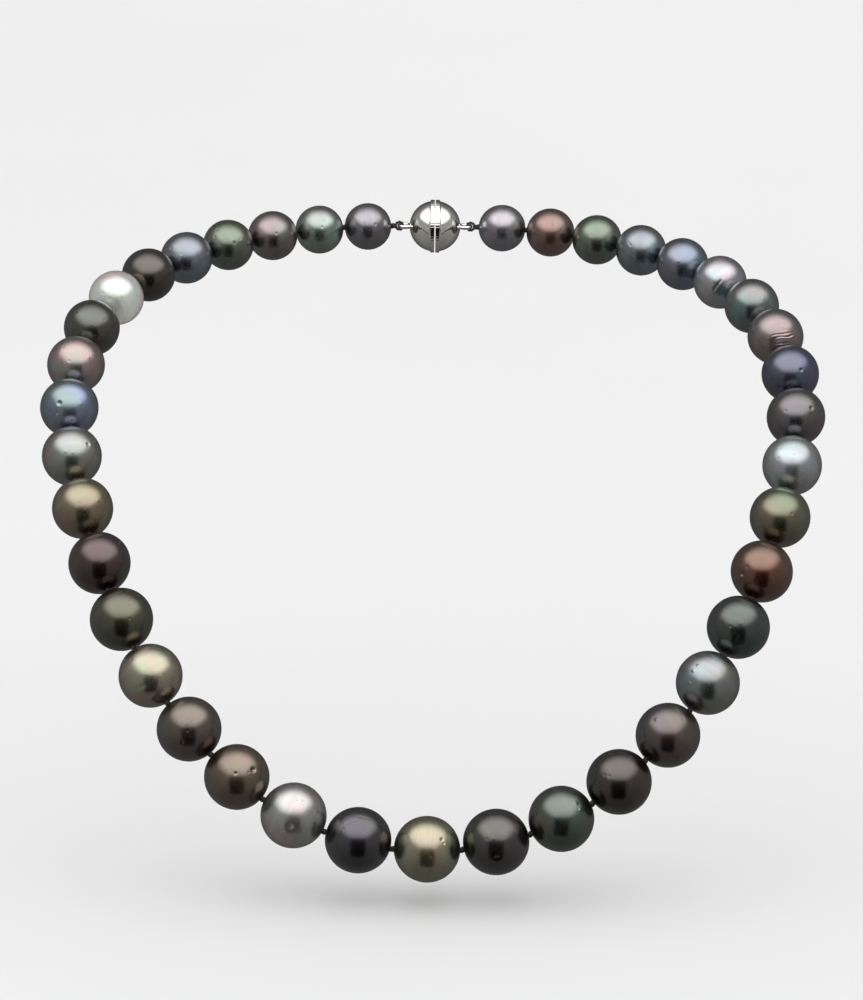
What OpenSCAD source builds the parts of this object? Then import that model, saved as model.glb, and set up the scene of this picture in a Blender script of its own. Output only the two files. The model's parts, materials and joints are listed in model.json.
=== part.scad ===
// Graduated necklace of round dark pearls, as it hangs on a wearer who faces -Y.
// Every pearl is drilled through its middle and knotted on silk. A magnetic ball
// clasp closes the loop at the nape. The origin lies midway between the two pearls
// that rest on the sides of the neck. "left" is the -X side.

/* [Pearls] */
// Pearls on each side of the front pearl
pearls_per_side = 19; // [15:1:19]
// Diameter of the front pearl
front_d = 12; // [9:0.1:14]
// Diameter of the last pearl before the clasp
back_d = 9.2; // [8:0.1:9.5]
// How late the pearls begin to get smaller, 1 is evenly from the front
taper = 1.5; // [1:0.1:2]
// Diameter of the drilled hole
hole_d = 0.9; // [0.9:0.02:1]

/* [Silk] */
// Diameter of the silk, doubled and twisted
silk_d = 0.8; // [0.6:0.02:0.84]
// Diameter of a knot
knot_d = 1.24; // [1.1:0.02:1.3]
// Room that a knot takes between two pearls
knot_gap = 0.6; // [0.5:0.05:0.8]
// Radial clearance between a knot and the mouths of the two holes beside it
knot_clearance = 0.05; // [0.03:0.01:0.08]

/* [Clasp] */
// Diameter of the closed ball
clasp_d = 10; // [9:0.5:12]
// Gap between the closed halves
clasp_gap = 0.2; // [0.1:0.05:0.4]
// Diameter of each disc magnet
magnet_d = 6; // [5:0.1:6.5]
// Thickness of each disc magnet
magnet_t = 2; // [1.5:0.1:2.5]

/* [Hidden] */
$fn = 64;

// Pearls in each half of an open end
segment = 3;
// The pearls that rest on the sides of the neck
shoulder = pearls_per_side - 2 * segment;
// First pearl of the last three before the clasp
tail_b = pearls_per_side - segment + 1;

// How far the strand has turned, from straight across the chest (0) to straight
// across the nape (180), at eight stations spaced evenly along each side
TURN = [[0, 0], [1, 39], [2, 66], [3, 78], [4, 102], [5, 130], [6, 150], [7, 180]];
// How far the strand leans back from upright at the same stations, as it goes up
// the chest (16), over the collarbone and level round the neck (90)
LEAN = [[0, 16], [1, 26], [2, 38], [3, 49], [4, 65], [5, 79], [6, 86], [7, 90]];
stations = len(TURN) - 1;

// Rings at the ends of the clasp, and the silk loops tied through them
ring_r = 1.1;
ring_wire_d = 0.8;
ring_x = clasp_d / 2 + 0.9;
loop_silk_d = 0.6;
loop_r = (ring_wire_d + loop_silk_d) / 2 + 0.05;
loop_x = ring_x + ring_r;
end_knot_x = loop_x + loop_r + knot_d / 2;
rim_t = 0.8;
rim_d = clasp_d + 0.4;
magnet_depth = 0.1;
magnet_fit = 0.05;

seat_r = knot_d / 2 + knot_clearance;

function two_digits(i) = i < 10 ? str("0", i) : str(i);
function pearl_d(i) = front_d - (front_d - back_d) * pow(i / pearls_per_side, taper);
function pitch(i) = pearl_d(i) + knot_gap;
function station(i) = stations * i / (pearls_per_side + 1);

// Direction of the silk through pearl i of the +X side. bow adds to the turn at
// the shoulders, so that the two ends meet the clasp.
function direction(i, bow) =
    let (turn = lookup(station(i), TURN) + bow * sin(180 * station(i) / stations))
    let (lean = lookup(station(i), LEAN))
    [cos(turn), sin(turn) * sin(lean), sin(turn) * cos(lean)];

// Knot i lies behind pearl i, measured from the middle of the front pearl
function knot_from_front(i, bow) =
    i == 0 ? [pitch(0) / 2, 0, 0]
    : knot_from_front(i - 1, bow) + pitch(i) * direction(i, bow);

// The bow with which the last knot meets the clasp, found by halving an interval
function closing_bow(low, high, tries) =
    let (middle = (low + high) / 2)
    tries == 0 ? middle
    : knot_from_front(pearls_per_side, middle)[0] > end_knot_x
        ? closing_bow(middle, high, tries - 1)
        : closing_bow(low, middle, tries - 1);

bow = closing_bow(-60, 60, 40);
DIRECTIONS = [for (i = [0:pearls_per_side]) i == 0 ? [1, 0, 0] : direction(i, bow)];
FROM_FRONT = [for (i = [0:pearls_per_side]) knot_from_front(i, bow)];
MIDDLES = [for (i = [0:pearls_per_side]) FROM_FRONT[i] - pitch(i) / 2 * DIRECTIONS[i]];

// Everything is drawn from the point midway between the shoulder pearls
REST = [0, MIDDLES[shoulder][1], MIDDLES[shoulder][2]];
PEARLS = [for (p = MIDDLES) p - REST];
KNOTS = [for (p = FROM_FRONT) p - REST];
CLASP = [0, KNOTS[pearls_per_side][1], KNOTS[pearls_per_side][2]];

SIDES = ["left", "right"];

FRONT_COLOUR = "darkolivegreen";
LEFT_COLOURS = [
    "midnightblue", "silver", "rosybrown", "dimgray", "darkseagreen", "darkslategray",
    "saddlebrown", "olivedrab", "slategray", "lightslategray", "thistle", "darkslategray",
    "gainsboro", "rosybrown", "slategray", "darkolivegreen", "dimgray", "darkseagreen",
    "gray"
];
RIGHT_COLOURS = [
    "darkslateblue", "darkgreen", "maroon", "dimgray", "gray", "darkslateblue",
    "sienna", "darkolivegreen", "lightsteelblue", "rosybrown", "midnightblue", "tan",
    "darkslategray", "darkgray", "dimgray", "slategray", "darkseagreen", "saddlebrown",
    "darkgray"
];
SILK_COLOUR = "black";
METAL_COLOUR = "silver";
MAGNET_COLOUR = "lightgray";

function pearl_name(side, i) = str("pearl_", side, "_", two_digits(i));
function pearl_colour(side, i) = side == "left" ? LEFT_COLOURS[i - 1] : RIGHT_COLOURS[i - 1];
function drop_name(i) = str("silk_drop_", two_digits(i));

// The +X side as drawn, or its mirror image
module on_side(side) {
    mirror([side == "left" ? 1 : 0, 0, 0]) children();
}

// Puts +Z along pearl i's hole, with the origin at the pearl's middle
module along_hole(i) {
    d = DIRECTIONS[i];
    translate(PEARLS[i]) rotate([0, acos(d[2]), atan2(d[1], d[0])]) children();
}

module drilled_pearl(i) {
    along_hole(i) difference() {
        sphere(d = pearl_d(i));
        cylinder(d = hole_d, h = 2 * pearl_d(i), center = true);
        for (end = [-1, 1]) {
            translate([0, 0, end * pitch(i) / 2]) sphere(r = seat_r);
        }
    }
}

// Silk through pearl i. A knot fills the space at an end that is tied, and the
// silk stops at the mouth of the hole at an end that the next knot holds.
module silk_through(i, near_tied, far_tied) {
    near = near_tied ? 0 : seat_r;
    far = far_tied ? 0 : seat_r;
    along_hole(i) translate([0, 0, near - pitch(i) / 2]) {
        cylinder(d = silk_d, h = pitch(i) - near - far);
    }
}

// Knot at an end of pearl i, -1 on its front side and 1 behind it
module knot(i, end) {
    along_hole(i) translate([0, 0, end * pitch(i) / 2]) sphere(d = knot_d);
}

module pearl_front() {
    color(FRONT_COLOUR) drilled_pearl(0);
}

module pearl(side, i) {
    color(pearl_colour(side, i)) on_side(side) drilled_pearl(i);
}

// Silk of the front pearl and the first pair, in one length
module silk_drop_front() {
    color(SILK_COLOUR) union() {
        silk_through(0, true, true);
        for (side = SIDES) {
            on_side(side) {
                knot(0, 1);
                silk_through(1, true, false);
            }
        }
    }
}

// Silk of a mirrored pair, each length with the knot on its front side
module silk_pair(i) {
    color(SILK_COLOUR) for (side = SIDES) {
        on_side(side) {
            knot(i, -1);
            silk_through(i, true, false);
        }
    }
}

// Silk of the shoulder pearls, with the knots at both of their ends
module silk_shoulders() {
    color(SILK_COLOUR) for (side = SIDES) {
        on_side(side) {
            knot(shoulder, -1);
            silk_through(shoulder, true, true);
            knot(shoulder, 1);
        }
    }
}

// Silk of three pearls of an open end, with the knots behind them
module silk_segment(first) {
    for (i = [first:first + segment - 1]) {
        silk_through(i, i > first, true);
        knot(i, 1);
    }
}

module silk_tail_a(side) {
    color(SILK_COLOUR) on_side(side) silk_segment(shoulder + 1);
}

module silk_tail_b(side) {
    color(SILK_COLOUR) on_side(side) union() {
        silk_segment(tail_b);
        translate(CLASP + [loop_x, 0, 0]) rotate([90, 0, 0]) rotate_extrude() {
            translate([loop_r, 0]) circle(d = loop_silk_d);
        }
        // the loop's two ends, drawn into the last knot
        translate(CLASP + [end_knot_x, 0, 0]) rotate([0, -90, 0]) {
            cylinder(d = loop_silk_d, h = knot_d / 2 + loop_silk_d / 2);
        }
    }
}

// Outline of half the ball, from its middle out, with the rim and the magnet's pocket
module clasp_outline() {
    difference() {
        union() {
            intersection() {
                circle(d = clasp_d);
                translate([0, clasp_gap / 2]) square(clasp_d);
            }
            translate([0, clasp_gap / 2]) square([rim_d / 2, rim_t]);
        }
        square([magnet_d / 2 + magnet_fit, clasp_gap / 2 + magnet_depth + magnet_t]);
    }
}

module clasp_half(side) {
    color(METAL_COLOUR) on_side(side) translate(CLASP) union() {
        rotate([0, 90, 0]) rotate_extrude() clasp_outline();
        translate([ring_x, 0, 0]) rotate_extrude() {
            translate([ring_r, 0]) circle(d = ring_wire_d);
        }
    }
}

module clasp_magnet(side) {
    color(MAGNET_COLOUR) on_side(side) translate(CLASP + [clasp_gap / 2 + magnet_depth, 0, 0]) {
        rotate([0, 90, 0]) cylinder(d = magnet_d, h = magnet_t);
    }
}

pearl_front();
for (side = SIDES, i = [1:pearls_per_side]) {
    pearl(side, i);
}
silk_drop_front();
for (i = [2:shoulder - 1]) {
    silk_pair(i);
}
silk_shoulders();
for (side = SIDES) {
    silk_tail_a(side);
    silk_tail_b(side);
    clasp_half(side);
    clasp_magnet(side);
}
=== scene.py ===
import json
import math

import bpy
import numpy as np
from mathutils import Matrix, Vector


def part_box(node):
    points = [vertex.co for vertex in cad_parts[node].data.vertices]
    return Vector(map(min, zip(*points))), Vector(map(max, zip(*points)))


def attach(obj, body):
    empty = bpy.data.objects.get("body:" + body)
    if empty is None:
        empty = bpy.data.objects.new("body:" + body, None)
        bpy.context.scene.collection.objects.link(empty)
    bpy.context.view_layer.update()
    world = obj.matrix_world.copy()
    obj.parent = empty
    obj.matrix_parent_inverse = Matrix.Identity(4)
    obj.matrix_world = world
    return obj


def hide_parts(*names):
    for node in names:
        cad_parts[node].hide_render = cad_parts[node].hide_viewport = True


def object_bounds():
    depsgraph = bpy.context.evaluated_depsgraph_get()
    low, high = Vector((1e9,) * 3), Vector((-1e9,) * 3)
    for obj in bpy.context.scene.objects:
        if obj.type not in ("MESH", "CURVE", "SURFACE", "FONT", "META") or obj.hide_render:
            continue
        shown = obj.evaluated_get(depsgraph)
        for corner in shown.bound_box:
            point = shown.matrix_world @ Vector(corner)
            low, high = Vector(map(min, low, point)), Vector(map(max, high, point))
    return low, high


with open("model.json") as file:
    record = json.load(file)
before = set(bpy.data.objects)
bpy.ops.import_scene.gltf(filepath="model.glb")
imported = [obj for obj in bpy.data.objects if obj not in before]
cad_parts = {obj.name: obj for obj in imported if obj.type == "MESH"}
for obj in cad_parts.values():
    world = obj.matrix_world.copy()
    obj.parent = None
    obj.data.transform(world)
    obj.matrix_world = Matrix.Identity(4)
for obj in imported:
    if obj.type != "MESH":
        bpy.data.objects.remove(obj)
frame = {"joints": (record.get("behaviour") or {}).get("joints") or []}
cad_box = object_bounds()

MM = 0.001

# The strand, as in the CAD model
HOLE_R = 0.45 * MM
MOUTH_R = 0.6 * MM
MOUTH_DEPTH = 0.28 * MM
KNOT_GAP = 0.6 * MM
KNOT_R = 0.62 * MM
SEAT_R = 0.67 * MM
SILK_R = 0.4 * MM
LOOP_R = 0.75 * MM
LOOP_SILK_R = 0.3 * MM
RING_R = 1.1 * MM
RING_WIRE_R = 0.4 * MM
CLASP_R = 5 * MM
CLASP_GAP = 0.2 * MM
RIM_R = 5.2 * MM
RIM_T = 0.8 * MM
POCKET_R = 3.05 * MM
POCKET_DEPTH = 2.1 * MM
MAGNET_R = 3 * MM
MAGNET_T = 2 * MM
MAGNET_DEPTH = 0.1 * MM
SEGMENT = 3  # pearls in each half of an open end

# How finely the pearls are drawn: vertices round the hole, and rows from mouth to mouth
ROUND, LONG = 224, 146
# How far from round a pearl is, as shares of its radius
SWELLINGS = 4
SWELLING = (-0.006, 0.004)
WAVE = 0.0015
SPECKS = 7  # tiny pits and bumps on each pearl, besides its marks

# The silk's twist and knots
PLY_PITCH = 2.2 * MM
LOOP_PLY_PITCH = 1.05 * MM
TAIL_PLY_PITCH = 1.2 * MM
THREAD_POINTS = 44
KNOT_POINTS = 64
LOOP_POINTS = 72
KNOT_STRAND_R = 0.2 * MM

RIM_FLUTES = 60
RIM_FLUTE_DEPTH = 0.05 * MM

# The view: directions to the picture's right and top, and towards the camera
CAMERA_ELEVATION = math.radians(16)
RIGHT = Vector((1, 0, 0))
UP = Vector((0, math.sin(CAMERA_ELEVATION), math.cos(CAMERA_ELEVATION)))
TOWARDS_CAMERA = RIGHT.cross(UP)
CAMERA_DISTANCE = 980 * MM
CAMERA_ROLL = math.radians(-0.735)
TARGET_HEIGHT = 62.8 * MM  # of the picture's middle above the front pearl
FIELD_HEIGHT = 179.8 * MM  # at the front pearl
SENSOR = 36

# The studio
FLOOR_DROP = 4 * MM
FLOOR_LIGHT = 1.12
ROOM = (0.17, 0.385)  # how bright the pearls see the room, below and at eye level
BEHIND = 0.15  # how much of that is left straight behind the pearls
SOFTBOX = 2.8
DARK_ROOM = 0.003

# Nacre of every pearl: body colour, overtone, and the marks on its surface.
# The colours of the 29 pearls that the photo shows weren't picked by hand. Helper
# scripts fitted the body colours to the photo and blended the overtones with them.
# A mark is a kind, its place on the disc that the camera sees (-1 to 1 across and up)
# and its sizes in millimetres.
#   pit: radius, depth (a negative depth is a bump)
#   groove: angle, length, width, depth
#   wrinkles: angle, length, spacing, count, height
#   rings: spacing, count, height, round the drilled axis
NACRE = {
    "front": ("#5d5a49", "#585b42", [
        ("pit", 0.44, 0.34, 0.3, 0.16),
        ("pit", 0.5, 0.24, 0.22, 0.1),
    ]),
    "left_01": ("#1e1d1c", "#1d1d2c", [
        ("groove", -0.3, 0.55, 20, 3.2, 0.19, 0.057),
        ("groove", -0.55, 0.25, 65, 2.6, 0.17, 0.057),
        ("groove", 0.15, 0.72, -12, 2.2, 0.17, 0.038),
    ]),
    "left_02": ("#676764", "#756668", [
        ("pit", 0.12, 0.54, 0.26, 0.13),
        ("pit", 0.3, 0.5, 0.22, 0.1),
        ("pit", -0.08, -0.28, 0.55, 0.26),
    ]),
    "left_03": ("#3c3528", "#46332d", [
        ("pit", 0.53, 0.27, 0.36, 0.42),
        ("pit", 0.0, 0.16, 0.26, 0.12),
    ]),
    "left_04": ("#373028", "#373226", [("pit", -0.35, -0.6, 0.41, 0.076)]),
    "left_05": ("#665d51", "#5a644b", [
        ("groove", -0.3, -0.35, 30, 2.4, 0.36, 0.057),
        ("pit", 0.2, -0.7, 0.54, 0.102),
    ]),
    "left_06": ("#2b2b1a", "#272d1b", [("pit", 0.3, 0.5, 0.34, 0.102)]),
    "left_07": ("#1e150f", "#271212", []),
    "left_08": ("#53483c", "#4a4e2e", [("rings", 0.62, 6, 0.012)]),
    "left_09": ("#5f544c", "#4d5b5b", [("pit", 0.58, 0.4, 0.3, 0.16)]),
    "left_10": ("#475350", "#4f4f77", [
        ("pit", -0.28, 0.14, 0.34, 0.24),
        ("pit", -0.35, -0.2, 0.24, 0.153),
        ("pit", -0.6, -0.15, 0.22, 0.128),
    ]),
    "left_11": ("#535950", "#735053", []),
    "left_12": ("#2c2720", "#222b25", [("pit", 0.2, -0.3, 0.34, 0.076)]),
    "left_13": ("#8f8981", "#8e8c8f", [("pit", -0.2, -0.1, 0.41, 0.076)]),
    "left_14": ("#201b14", "#251b10", []),
    "left_15": ("#4a4d50", "#46565c", []),
    "left_16": ("#3f4038", "#3c4a36", [("rings", 0.8, 4, 0.015)]),
    "left_17": ("#4a4542", "#54464e", []),
    "left_18": ("#585d58", "#56685e", [("pit", 0.2, 0.3, 0.41, 0.128)]),
    "left_19": ("#4e4e4e", "#4c5258", []),
    "right_01": ("#201f17", "#271d25", [("pit", 0.02, -0.42, 0.47, 0.153)]),
    "right_02": ("#303126", "#213531", [
        ("pit", 0.42, 0.52, 0.27, -0.128),
        ("pit", 0.55, 0.32, 0.24, -0.128),
    ]),
    "right_03": ("#1b1410", "#20130d", []),
    "right_04": ("#322b24", "#342b31", [("pit", -0.4, 0.5, 0.27, -0.128)]),
    "right_05": ("#555249", "#4a565f", [
        ("pit", -0.35, 0.55, 0.24, -0.128),
        ("pit", -0.5, 0.4, 0.22, -0.128),
        ("pit", -0.6, 0.0, 0.24, -0.102),
    ]),
    "right_06": ("#212621", "#162927", [("groove", -0.05, -0.34, 65, 2.6, 0.36, 0.13)]),
    "right_07": ("#362617", "#461f12", [("pit", -0.68, -0.08, 0.42, 0.32)]),
    "right_08": ("#443d2f", "#33442b", []),
    "right_09": ("#63655f", "#576a71", [("pit", 0.0, 0.34, 0.22, 0.1)]),
    "right_10": ("#37332d", "#3a3143", [("pit", 0.47, 0.3, 0.3, 0.178)]),
    "right_11": ("#2c2f35", "#2b2d4f", [
        ("pit", 0.32, 0.12, 0.27, 0.153),
        ("pit", -0.4, -0.5, 0.3, 0.153),
    ]),
    "right_12": ("#4d4947", "#594842", [
        ("wrinkles", 0.3, -0.08, 10, 4.2, 0.6, 4, 0.08),
    ]),
    "right_13": ("#494845", "#2f4f4c", []),
    "right_14": ("#696462", "#556a72", [
        ("groove", -0.15, -0.15, 55, 2.6, 0.24, 0.076),
        ("groove", 0.05, -0.3, 55, 2.2, 0.22, 0.076),
    ]),
    "right_15": ("#45464a", "#43505e", []),
    "right_16": ("#4a4e50", "#4c5a62", []),
    "right_17": ("#3e4239", "#3c4a38", []),
    "right_18": ("#443a34", "#543c34", [("rings", 0.7, 4, 0.012)]),
    "right_19": ("#58595a", "#606068", []),
}

# Metallic share: pale pearls are less of a mirror than the rest
MILKY = {"left_02": 0.92, "left_13": 0.42, "right_09": 0.92, "right_14": 0.95}
MIRRORED = 0.985

BODY_GAIN = 2.5  # from a pearl's colour at its sides in soft light to its reflectance
OVERTONE = 0.55  # how far the overtone takes over where it is strongest

joint_of = {j["name"]: j for j in frame["joints"]}
side_count = sum(1 for key in NACRE if key.startswith("left"))
shoulder = side_count - 2 * SEGMENT


# ---- mesh helpers ----

def unit(v):
    return v / np.linalg.norm(v)


def new_object(name, vertices, faces):
    mesh = bpy.data.meshes.new(name)
    mesh.from_pydata([tuple(v) for v in vertices], [], faces)
    mesh.polygons.foreach_set("use_smooth", [True] * len(mesh.polygons))
    mesh.update()
    obj = bpy.data.objects.new(name, mesh)
    bpy.context.scene.collection.objects.link(obj)
    return obj


def join_parts(parts):
    """One list of vertices and faces from several."""
    vertices, faces = [], []
    for part_vertices, part_faces in parts:
        start = len(vertices)
        vertices.extend(part_vertices)
        faces.extend([tuple(start + i for i in face) for face in part_faces])
    return vertices, faces


def grid_faces(rows, columns, close_rows=False):
    """Quads between rows of vertices, each row closed on itself."""
    faces = []
    for r in range(rows if close_rows else rows - 1):
        below = (r + 1) % rows
        for c in range(columns):
            d = (c + 1) % columns
            faces.append((
                r * columns + c, r * columns + d, below * columns + d, below * columns + c,
            ))
    return faces


def tube(path, radius, sides=8, closed=False):
    """A round tube along a list of points, with capped ends unless it is closed."""
    path = np.array(path, float)
    count = len(path)
    if closed:
        tangents = np.roll(path, -1, axis=0) - np.roll(path, 1, axis=0)
    else:
        tangents = np.gradient(path, axis=0)
    normal = unit(np.cross(tangents[0], (0.31, 0.52, 0.79)))
    vertices = []
    for point, tangent in zip(path, tangents):
        t = unit(tangent)
        normal = unit(normal - t * np.dot(normal, t))
        binormal = np.cross(t, normal)
        for k in range(sides):
            a = 2 * math.pi * k / sides
            vertices.append(point + radius * (math.cos(a) * normal + math.sin(a) * binormal))
    faces = grid_faces(count, sides, close_rows=closed)
    if not closed:
        faces.append(tuple(range(sides - 1, -1, -1)))
        faces.append(tuple(range((count - 1) * sides, count * sides)))
    return vertices, faces


def lathe(profile, columns, ripple=None):
    """Turns (radius, height) points round +Z. The first and last lie on the axis."""
    vertices = [(0, 0, profile[0][1])]
    for r, z in profile[1:-1]:
        for k in range(columns):
            a = 2 * math.pi * k / columns
            rr = r - (ripple(r, z, a) if ripple else 0)
            vertices.append((rr * math.cos(a), rr * math.sin(a), z))
    vertices.append((0, 0, profile[-1][1]))
    last = len(vertices) - 1
    rows = len(profile) - 2
    faces = [tuple(1 + i for i in face) for face in grid_faces(rows, columns)]
    for k in range(columns):
        n = (k + 1) % columns
        faces.append((0, 1 + n, 1 + k))
        faces.append((last, last - columns + k, last - columns + n))
    return vertices, faces


# ---- material helpers ----

def linear(code):
    """Linear RGB of a hex colour."""
    channels = [int(code[i:i + 2], 16) / 255 for i in (1, 3, 5)]
    return [c / 12.92 if c <= 0.04045 else ((c + 0.055) / 1.055) ** 2.4 for c in channels]


class Surface:
    """A node material, built one node at a time."""

    def __init__(self, name, **constants):
        self.material = bpy.data.materials.new(name)
        self.material.use_nodes = True
        self.tree = self.material.node_tree
        self.shader = self.tree.nodes["Principled BSDF"]
        for socket, value in constants.items():
            self.shader.inputs[socket.replace("_", " ")].default_value = value
        self.place = self.tree.nodes.new("ShaderNodeTexCoord").outputs["Object"]

    def node(self, kind, inputs=None, **settings):
        made = self.tree.nodes.new("ShaderNode" + kind)
        for key, value in settings.items():
            setattr(made, key, value)
        for socket, value in (inputs or {}).items():
            if isinstance(value, bpy.types.NodeSocket):
                self.tree.links.new(value, made.inputs[socket])
            else:
                made.inputs[socket].default_value = value
        return made

    def noise(self, scale, detail=2, seed=0, place=None, roughness=0.5):
        return self.node("TexNoise", {
            "Vector": place or self.place, "W": seed, "Scale": scale,
            "Detail": detail, "Roughness": roughness,
        }, noise_dimensions="4D").outputs["Fac"]

    def spread(self, value, low, high, to_low=0.0, to_high=1.0):
        return self.node("MapRange", {
            "Value": value, "From Min": low, "From Max": high,
            "To Min": to_low, "To Max": to_high,
        }, interpolation_type="SMOOTHSTEP").outputs["Result"]

    def mix(self, factor, a, b, blend="MIX"):
        made = self.tree.nodes.new("ShaderNodeMix")
        made.data_type = "RGBA"
        made.blend_type = blend
        for socket, value in ((made.inputs[0], factor), (made.inputs[6], a), (made.inputs[7], b)):
            if isinstance(value, bpy.types.NodeSocket):
                self.tree.links.new(value, socket)
            else:
                socket.default_value = value
        return made.outputs[2]

    def bump(self, height, distance, strength=1.0, below=None):
        inputs = {"Height": height, "Distance": distance, "Strength": strength}
        if below:
            inputs["Normal"] = below
        return self.node("Bump", inputs).outputs["Normal"]

    def link(self, **sockets):
        for socket, output in sockets.items():
            self.tree.links.new(output, self.shader.inputs[socket.replace("_", " ")])
        return self.material


def reflectance(code):
    return [min(0.93, c * BODY_GAIN) for c in linear(code)] + [1]


def nacre_material(name, body, overtone, lustre, seed):
    s = Surface(
        name, Metallic=lustre, IOR=1.6, Coat_Weight=1.0, Coat_Roughness=0.2, Coat_IOR=1.65,
        Thin_Film_Thickness=320 + 40 * (seed % 6), Thin_Film_IOR=1.45,
    )
    clouds = s.spread(s.noise(120, seed=seed), 0.34, 0.66, 0.0, OVERTONE)
    colour = s.mix(clouds, reflectance(body), reflectance(overtone))
    # nacre grows in bands round the axis that the pearl turned about in the shell
    stretched = s.node("Mapping", {"Vector": s.place, "Scale": (0.18, 0.18, 1)}).outputs["Vector"]
    bands = s.noise(620, 3, seed + 40, stretched)
    shade = s.mix(s.spread(bands, 0.35, 0.65), [0.84, 0.84, 0.86, 1], [1, 1, 1, 1])
    colour = s.mix(1.0, colour, shade, "MULTIPLY")
    drift = s.spread(s.noise(150, 1, seed + 20), 0.36, 0.64)
    tint = s.mix(drift, [1.08, 0.94, 0.99, 1], [0.94, 1.04, 1.01, 1])
    colour = s.mix(1.0, colour, tint, "MULTIPLY")
    grain = s.noise(5200, 2, seed + 80)
    ripples = s.noise(900, 2, seed + 120)
    shallow = 0.5 * lustre ** 3
    relief = s.bump(ripples, 0.009 * MM, shallow, s.bump(grain, 0.0016 * MM, shallow))
    gloss = s.spread(s.noise(420, 3, seed + 160), 0.3, 0.7, 0.26, 0.33)
    return s.link(Base_Color=colour, Roughness=gloss, Normal=relief)


def silk_material():
    s = Surface("Silk_black_brown", Sheen_Weight=0.35, Sheen_Roughness=0.4, Specular_IOR_Level=0.35)
    fibres = s.noise(9000, 3, 1)
    colour = s.mix(s.spread(fibres, 0.3, 0.7), linear("#15100f") + [1], linear("#3a302c") + [1])
    rough = s.spread(s.noise(3000, 2, 3), 0.3, 0.7, 0.5, 0.7)
    return s.link(Base_Color=colour, Roughness=rough, Normal=s.bump(fibres, 0.03 * MM, 0.8))


def gold_material():
    s = Surface("White_gold_polished", Metallic=1.0)
    hazy = s.spread(s.noise(260, 3, 5), 0.3, 0.7)
    colour = s.mix(hazy, linear("#dedad2") + [1], linear("#eae8e3") + [1])
    scratched = s.node("Mapping", {"Vector": s.place, "Scale": (1, 0.06, 1)}).outputs["Vector"]
    scratches = s.noise(3800, 2, 9, scratched)
    rough = s.spread(scratches, 0.45, 0.75, 0.07, 0.2)
    return s.link(Base_Color=colour, Roughness=rough, Normal=s.bump(scratches, 0.004 * MM, 0.4))


def magnet_material():
    s = Surface("Magnet_nickel_plate", Metallic=1.0)
    mottled = s.spread(s.noise(1400, 4, 2), 0.35, 0.65)
    colour = s.mix(mottled, linear("#a8a5a0") + [1], linear("#c2c0bc") + [1])
    rough = s.spread(s.noise(2600, 2, 6), 0.3, 0.7, 0.22, 0.38)
    return s.link(Base_Color=colour, Roughness=rough, Normal=s.bump(mottled, 0.004 * MM, 0.5))


def floor_material():
    s = Surface("Floor_pale", Specular_IOR_Level=0.2)
    soft = s.spread(s.noise(3, 3, 4), 0.3, 0.7)
    colour = s.mix(soft, [0.78, 0.78, 0.78, 1], [0.8, 0.8, 0.8, 1])
    rough = s.spread(s.noise(8, 2, 7), 0.3, 0.7, 0.75, 0.85)
    return s.link(Base_Color=colour, Roughness=rough)


# ---- pearls ----

class Pearl:
    """Where one pearl is, from its own joint and its CAD solid."""

    def __init__(self, key):
        self.node = "pearl_" + key
        joint = joint_of["spin_" + key]
        self.centre = Vector(joint["pos_m"])
        self.axis = Vector(joint["axis"]).normalized()
        low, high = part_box(self.node)
        self.radius = max(high - low) / 2
        self.knot_reach = self.radius + KNOT_GAP / 2
        self.turn = self.axis.to_track_quat("Z", "Y").to_matrix()

    def along(self, distance):
        return np.array(self.centre + self.axis * distance)


def pearl_rows(radius):
    """(radius, height, on the skin) for each row, from the middle of the hole round to it again."""
    start = math.asin(MOUTH_R / radius)
    skin = [start + (math.pi - 2 * start) * k / (LONG - 1) for k in range(LONG)]
    rows = [(radius * math.sin(a), radius * math.cos(a), True) for a in skin]
    mouth = radius * math.cos(start)
    inner = [(0.56, 0.06), (0.5, 0.16), (0.46, 0.24)]
    top = [(r * MM, mouth - z * MM, False) for r, z in reversed(inner)]
    hole = [(HOLE_R, z, False) for z in (0, mouth / 2, mouth - MOUTH_DEPTH)]
    upper = hole + top
    lower = [(r, -z, False) for r, z, _ in reversed(upper[1:])]
    return upper + rows + lower


def mark_height(mark, directions, radius):
    """How far one mark lifts the skin along each direction, in metres."""
    kind = mark[0]
    if kind == "rings":
        return 0
    x, y = mark[1], mark[2]
    aim = RIGHT * x + UP * y + TOWARDS_CAMERA * math.sqrt(max(0, 1 - x * x - y * y))
    aim = np.array(aim)
    across = unit(np.array(RIGHT) - aim * np.dot(aim, RIGHT))
    upwards = np.cross(aim, across)
    u = radius * directions @ across
    v = radius * directions @ upwards
    facing = directions @ aim > 0.4
    if kind == "pit":
        size, depth = mark[3] * MM, mark[4] * MM
        lift = -depth * np.exp(-(u * u + v * v) / (size * size))
    else:
        angle, length = math.radians(mark[3]), mark[4] * MM
        s = u * math.cos(angle) + v * math.sin(angle)
        t = v * math.cos(angle) - u * math.sin(angle)
        ends = np.exp(-((2 * s / length) ** 4))
        if kind == "groove":
            width, depth = mark[5] * MM, mark[6] * MM
            lift = -depth * ends * np.exp(-(t / width) ** 2)
        else:
            spacing, count, height = mark[5] * MM, mark[6], mark[7] * MM
            slow = 0.14 * np.sin(2 * math.pi * s / length)
            quick = 0.13 * np.sin(1.5 * s / spacing + 2.1 * t / spacing)
            sway = spacing * (slow + quick)
            within = np.exp(-((2 * t / (spacing * count)) ** 6))
            uneven = 0.6 + 0.4 * np.sin(3.1 * s / length + 2.2 * t / spacing)
            lift = height * ends * within * uneven * np.cos(2 * math.pi * (t + sway) / spacing)
    return np.where(facing, lift, 0)


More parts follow.
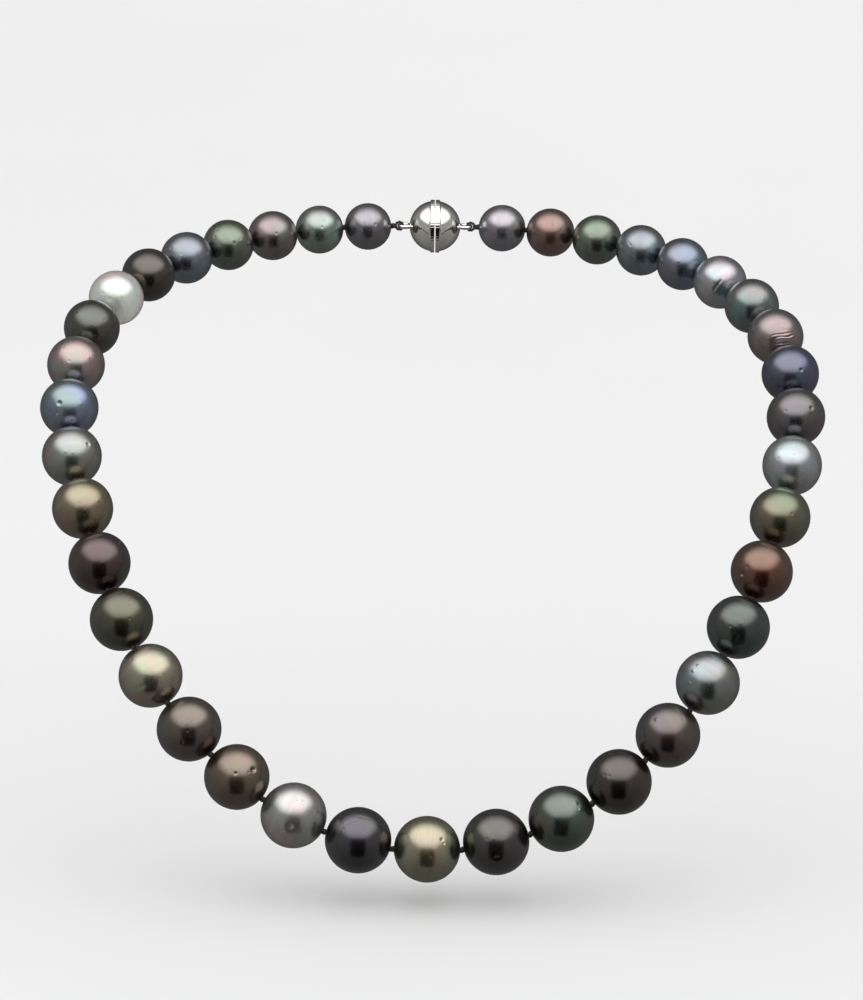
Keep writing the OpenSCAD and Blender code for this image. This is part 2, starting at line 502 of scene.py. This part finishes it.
def make_pearl(key, seed):
    body, overtone, marks = NACRE[key]
    lustre = MILKY.get(key, MIRRORED)
    pearl = Pearl(key)
    rows = pearl_rows(pearl.radius)
    angles = 2 * math.pi * np.arange(ROUND) / ROUND
    local = np.array([
        [(r * math.cos(a), r * math.sin(a), z) for a in angles] for r, z, _ in rows
    ]).reshape(-1, 3)
    skin = np.repeat([on_skin for _, _, on_skin in rows], ROUND)
    directions = local / np.linalg.norm(local, axis=1)[:, None]
    seen = directions @ np.array(pearl.turn).T

    # no pearl is quite round: a few broad swellings, faded out at the two mouths
    draw = np.random.default_rng(seed)
    lift = np.zeros(len(local))
    for _ in range(SWELLINGS):
        lobe = directions @ unit(draw.normal(size=3))
        lift += draw.uniform(*SWELLING) * pearl.radius * (1.5 * lobe ** 2 - 0.5)
        lift += draw.uniform(-WAVE, WAVE) * pearl.radius * np.sin(5 * lobe + draw.uniform(0, 6))
    specks = [
        ("pit", *draw.uniform(-0.6, 0.6, 2), draw.uniform(0.18, 0.3), draw.uniform(-0.04, 0.06))
        for _ in range(SPECKS)
    ]
    for mark in marks + specks:
        lift += mark_height(mark, seen, pearl.radius)
        if mark[0] == "rings":
            spacing, count, height = mark[1] * MM, mark[2], mark[3] * MM
            from_mouth = pearl.radius * np.arccos(np.clip(directions[:, 2], -1, 1))
            phase = (from_mouth - 1.2 * MM) / spacing
            ring = -height * np.sin(math.pi * phase) ** 2
            lift += np.where((phase > 0) & (phase < count), ring, 0)
    off_axis = np.hypot(local[:, 0], local[:, 1])
    fade = np.clip((off_axis - MOUTH_R) / (2 * MOUTH_R), 0, 1)
    local = local + directions * (lift * fade * skin)[:, None]

    obj = new_object("Pearl_" + key, local, pearl_faces)
    obj.matrix_world = Matrix.Translation(pearl.centre) @ pearl.turn.to_4x4()
    obj.data.materials.append(nacre_material("Nacre_" + key, body, overtone, lustre, seed))
    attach(obj, pearl.node)
    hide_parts(pearl.node)
    return pearl


row_count = len(pearl_rows(6 * MM))
# the hole's two ends meet in the middle, so the rows close on themselves
pearl_faces = grid_faces(row_count, ROUND, close_rows=True)
pearls = {key: make_pearl(key, seed) for seed, key in enumerate(NACRE)}


# ---- silk ----

silk = silk_material()


def twisted(path, radius, pitch):
    """Two plies of silk laid round each other along a path of points."""
    path = np.array(path, float)
    tangents = np.gradient(path, axis=0)
    normal = unit(np.cross(tangents[0], (0.31, 0.52, 0.79)))
    travelled = 0.0
    plies = [[], []]
    for k, point in enumerate(path):
        t = unit(tangents[k])
        normal = unit(normal - t * np.dot(normal, t))
        binormal = np.cross(t, normal)
        if k:
            travelled += np.linalg.norm(point - path[k - 1])
        for ply, start in enumerate((0, math.pi)):
            a = start + 2 * math.pi * travelled / pitch
            offset = radius / 2 * (math.cos(a) * normal + math.sin(a) * binormal)
            plies[ply].append(point + offset)
    return [tube(ply, radius * 0.52, 6) for ply in plies]


def straight(a, b, count):
    return [a + (b - a) * k / (count - 1) for k in range(count)]


def overhand_knot(centre, axis):
    """A small overhand knot pulled tight into a ball, its threads wound round the axis."""
    turn = np.array(Vector(axis).to_track_quat("Z", "Y").to_matrix())
    wide = (KNOT_R - KNOT_STRAND_R) / 3
    tall = KNOT_R - KNOT_STRAND_R - 0.06 * MM
    path = []
    for k in range(KNOT_POINTS):
        t = 2 * math.pi * k / KNOT_POINTS
        knotted = (
            wide * (math.sin(t) + 2 * math.sin(2 * t)),
            wide * (math.cos(t) - 2 * math.cos(2 * t)),
            -tall * math.sin(3 * t),
        )
        path.append(centre + turn @ np.array(knotted))
    return tube(path, KNOT_STRAND_R, closed=True)


def silk_through(pearl, far_tied):
    """The thread through one pearl, from the knot on its front side."""
    near = pearl.along(-pearl.knot_reach)
    far = pearl.along(pearl.knot_reach - (0 if far_tied else SEAT_R))
    return twisted(straight(near, far, THREAD_POINTS), SILK_R, PLY_PITCH)


def knot(pearl, end):
    return overhand_knot(pearl.along(end * pearl.knot_reach), pearl.axis)


def silk_piece(name, body, parts):
    obj = new_object(name[0].upper() + name[1:], *join_parts(parts))
    obj.data.materials.append(silk)
    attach(obj, body)
    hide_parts(name)


def numbered(side, i):
    return pearls[f"{side}_{i:02d}"]


front = pearls["front"]
parts = silk_through(front, True)
for side in ("left", "right"):
    first = numbered(side, 1)
    parts += silk_through(first, False) + [knot(first, -1)]
silk_piece("silk_drop_01", "strand_01", parts)

for i in range(2, shoulder):
    parts = []
    for side in ("left", "right"):
        pearl = numbered(side, i)
        parts += silk_through(pearl, False) + [knot(pearl, -1)]
    silk_piece(f"silk_drop_{i:02d}", f"strand_{i:02d}", parts)

parts = []
for side in ("left", "right"):
    pearl = numbered(side, shoulder)
    parts += silk_through(pearl, True) + [knot(pearl, -1), knot(pearl, 1)]
silk_piece("silk_shoulders", "strand_shoulders", parts)


def end_loop(centre, away):
    """The silk loop tied round the clasp's ring, with both its ends in the last knot."""
    loop = []
    for k in range(LOOP_POINTS + 1):
        a = 2 * math.pi * k / LOOP_POINTS
        loop.append(centre + np.array((LOOP_R * math.cos(a), 0, LOOP_R * math.sin(a))))
    root = centre + np.array((away * LOOP_R, 0, 0))
    ends = straight(root, root + np.array((away * KNOT_R, 0, 0)), 8)
    around = twisted(loop, LOOP_SILK_R, LOOP_PLY_PITCH)
    return around + twisted(ends, LOOP_SILK_R, TAIL_PLY_PITCH)


for side, away in (("left", -1), ("right", 1)):
    for part, first in (("a", shoulder + 1), ("b", shoulder + 1 + SEGMENT)):
        parts = []
        for i in range(first, first + SEGMENT):
            parts += silk_through(numbered(side, i), True) + [knot(numbered(side, i), 1)]
        if part == "b":
            low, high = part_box("clasp_half_" + side)
            outermost = low.x if away < 0 else high.x
            middle = (low + high) / 2
            ring_end = outermost - away * RING_WIRE_R
            parts += end_loop(np.array((ring_end, middle.y, middle.z)), away)
        silk_piece(f"silk_tail_{side}_{part}", f"tail_{side}_{part}", parts)


# ---- clasp ----

def arc(radius, z_from, z_to, count):
    """Points of a ball's outline between two heights above its middle."""
    a, b = math.asin(z_from / radius), math.asin(z_to / radius)
    steps = [a + (b - a) * k / count for k in range(count + 1)]
    return [(radius * math.cos(t), radius * math.sin(t)) for t in steps]


def clasp_profile():
    """Outline of one half, from the floor of the magnet's pocket out to the pole."""
    face = CLASP_GAP / 2
    edge = 0.08 * MM
    pocket_floor = POCKET_DEPTH + face
    outline = [
        (0, pocket_floor), (POCKET_R - 0.15 * MM, pocket_floor),
        (POCKET_R, POCKET_DEPTH), (POCKET_R, face + edge), (POCKET_R + edge, face),
        (RIM_R - edge, face), (RIM_R - 0.3 * edge, face + 0.3 * edge),
        (RIM_R, face + edge), (RIM_R, face + RIM_T - edge),
        (RIM_R - 0.3 * edge, face + RIM_T - 0.3 * edge), (RIM_R - edge, face + RIM_T),
    ]
    outline += arc(CLASP_R, face + RIM_T + 0.02 * MM, CLASP_R * 0.9998, 22)
    return outline + [(0, CLASP_R)]


def fluted(r, z, angle):
    """A fine coin edge round the rim."""
    if r < RIM_R - 0.01 * MM:
        return 0
    return RIM_FLUTE_DEPTH * (0.5 + 0.5 * math.cos(RIM_FLUTES * angle))


gold = gold_material()
plate = magnet_material()


def clasp_piece(name, body, parts, material):
    obj = new_object(name[0].upper() + name[1:], *join_parts(parts))
    obj.data.materials.append(material)
    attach(obj, body)
    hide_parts(name)


def placed(part, centre, away):
    """A part made along +Z, laid along the x axis with its outer end away."""
    vertices, faces = part
    moved = [(centre.x + away * v[2], centre.y + v[1], centre.z + v[0]) for v in vertices]
    if away < 0:
        faces = [tuple(reversed(face)) for face in faces]
    return moved, [tuple(reversed(face)) for face in faces]


for side, away in (("left", -1), ("right", 1)):
    low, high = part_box("clasp_half_" + side)
    centre = Vector((0, (low.y + high.y) / 2, (low.z + high.z) / 2))
    outermost = low.x if away < 0 else high.x
    ring_x = outermost - away * (RING_WIRE_R + RING_R)
    ring = [
        (ring_x + RING_R * math.cos(a), centre.y + RING_R * math.sin(a), centre.z)
        for a in (2 * math.pi * k / 64 for k in range(64))
    ]
    shell = placed(lathe(clasp_profile(), 240, fluted), centre, away)
    body = f"tail_{side}_b"
    ring = tube(ring, RING_WIRE_R, 20, closed=True)
    clasp_piece("clasp_half_" + side, body, [shell, ring], gold)

    start = CLASP_GAP / 2 + MAGNET_DEPTH
    chamfer = 0.15 * MM
    disc = lathe([
        (0, start), (MAGNET_R - chamfer, start), (MAGNET_R - 0.3 * chamfer, start + 0.3 * chamfer),
        (MAGNET_R, start + chamfer), (MAGNET_R, start + MAGNET_T - chamfer),
        (MAGNET_R - chamfer, start + MAGNET_T), (0, start + MAGNET_T),
    ], 96)
    clasp_piece("clasp_magnet_" + side, body, [placed(disc, centre, away)], plate)


# ---- studio ----

low, high = cad_box
floor_z = low.z - FLOOR_DROP


def flat_card(name, centre, across, upwards):
    """A rectangle given by its middle and its two half sides."""
    centre, across, upwards = Vector(centre), Vector(across), Vector(upwards)
    corners = [
        centre - across - upwards, centre + across - upwards,
        centre + across + upwards, centre - across + upwards,
    ]
    obj = new_object(name, corners, [(0, 1, 2, 3)])
    return obj


floor = flat_card("Floor", (0, 0, floor_z), (4, 0, 0), (0, 4, 0))
floor.data.materials.append(floor_material())
floor.visible_glossy = False  # the pearls hang on a wearer, far above any floor


def dark_card(name, centre, across, upwards, shade):
    """Black card that only shows in reflections, as a dark room in front of them does."""
    obj = flat_card(name, centre, across, upwards)
    s = Surface("Material_" + name, Specular_IOR_Level=0.0)
    tone = s.spread(s.noise(5, 2, 3), 0.3, 0.7)
    colour = s.mix(tone, [shade, shade, shade, 1], [shade * 1.2, shade * 1.2, shade * 1.2, 1])
    obj.data.materials.append(s.link(Base_Color=colour))
    obj.visible_camera = False
    obj.visible_diffuse = False
    obj.visible_shadow = False


def softbox(name, centre, across, upwards, radiance):
    """Overhead diffuser seen only in reflections, fading towards all its edges."""
    obj = flat_card(name, centre, across, upwards)
    s = Surface("Material_" + name)
    spot = s.node("SeparateXYZ", {0: s.place}).outputs
    aside = s.node("Math", {0: spot["X"]}, operation="ABSOLUTE").outputs[0]
    front_edge = centre[1] - upwards[1]
    glow = s.spread(spot["Y"], front_edge, front_edge + 1.4 * upwards[1], 0.15 * radiance, radiance)
    edge = s.spread(aside, 0.35 * across[0], across[0], 1, 0.15)
    back = s.spread(spot["Y"], centre[1] + 0.6 * upwards[1], centre[1] + upwards[1], 1, 0.2)
    glow = s.node("Math", {0: glow, 1: edge}, operation="MULTIPLY").outputs[0]
    glow = s.node("Math", {0: glow, 1: back}, operation="MULTIPLY").outputs[0]
    emission = s.node("Emission", {"Strength": glow})
    s.tree.links.new(emission.outputs[0], s.tree.nodes["Material Output"].inputs["Surface"])
    s.material.cycles.emission_sampling = "NONE"
    obj.data.materials.append(s.material)
    obj.visible_camera = False
    obj.visible_diffuse = False
    obj.visible_shadow = False


bpy.context.scene.view_settings.view_transform = "Standard"
world = bpy.data.worlds.new("Studio")
bpy.context.scene.world = world
world.use_nodes = True
sky = world.node_tree
sky.nodes["Background"].inputs["Color"].default_value = (1, 1, 1, 1)


def sky_node(kind, **values):
    made = sky.nodes.new("ShaderNode" + kind)
    for socket, value in values.items():
        made.inputs[socket.replace("_", " ")].default_value = value
    return made


# Plain soft white light on every surface. Only the pearls' reflections see a grey room,
# darker towards its floor and behind the pearls, where the wearer would be.
height = sky_node("SeparateXYZ")
walls = sky_node("MapRange", From_Min=-1, From_Max=0.1, To_Min=ROOM[0], To_Max=ROOM[1])
path = sky_node("LightPath")
chosen = sky_node("Mix", A=FLOOR_LIGHT)
shaded = sky_node("MapRange", From_Min=0.1, From_Max=1, To_Min=1, To_Max=BEHIND)
seen = sky_node("Math")
seen.operation = "MULTIPLY"
sky.links.new(sky_node("TexCoord").outputs["Generated"], height.inputs[0])
sky.links.new(height.outputs["Y"], shaded.inputs["Value"])
sky.links.new(walls.outputs["Result"], seen.inputs[0])
sky.links.new(shaded.outputs["Result"], seen.inputs[1])
sky.links.new(height.outputs["Z"], walls.inputs["Value"])
sky.links.new(path.outputs["Is Glossy Ray"], chosen.inputs["Factor"])
sky.links.new(seen.outputs[0], chosen.inputs["B"])
sky.links.new(chosen.outputs["Result"], sky.nodes["Background"].inputs["Strength"])

softbox("Softbox_overhead", (0, -0.9, 0.62), (1.35, 0, 0), (0, 1.3, 0), SOFTBOX)
# The unlit room behind and below the camera
dark_card("Dark_room_below_camera", (0, -0.9, -0.3), (0.4, 0, 0), (0, 0, 0.58), DARK_ROOM)

# ---- camera ----

camera_data = bpy.data.cameras.new("Camera")
camera_data.sensor_width = SENSOR
camera_data.lens = SENSOR * CAMERA_DISTANCE / FIELD_HEIGHT
camera = bpy.data.objects.new("Camera", camera_data)
bpy.context.scene.collection.objects.link(camera)
target = front.centre + UP * TARGET_HEIGHT
level = Matrix((RIGHT, UP, TOWARDS_CAMERA)).transposed()
camera.matrix_world = (
    Matrix.Translation(target + TOWARDS_CAMERA * CAMERA_DISTANCE)
    @ level.to_4x4()
    @ Matrix.Rotation(-CAMERA_ROLL, 4, "Z")
)
bpy.context.scene.camera = camera

bpy.context.view_layer.update()
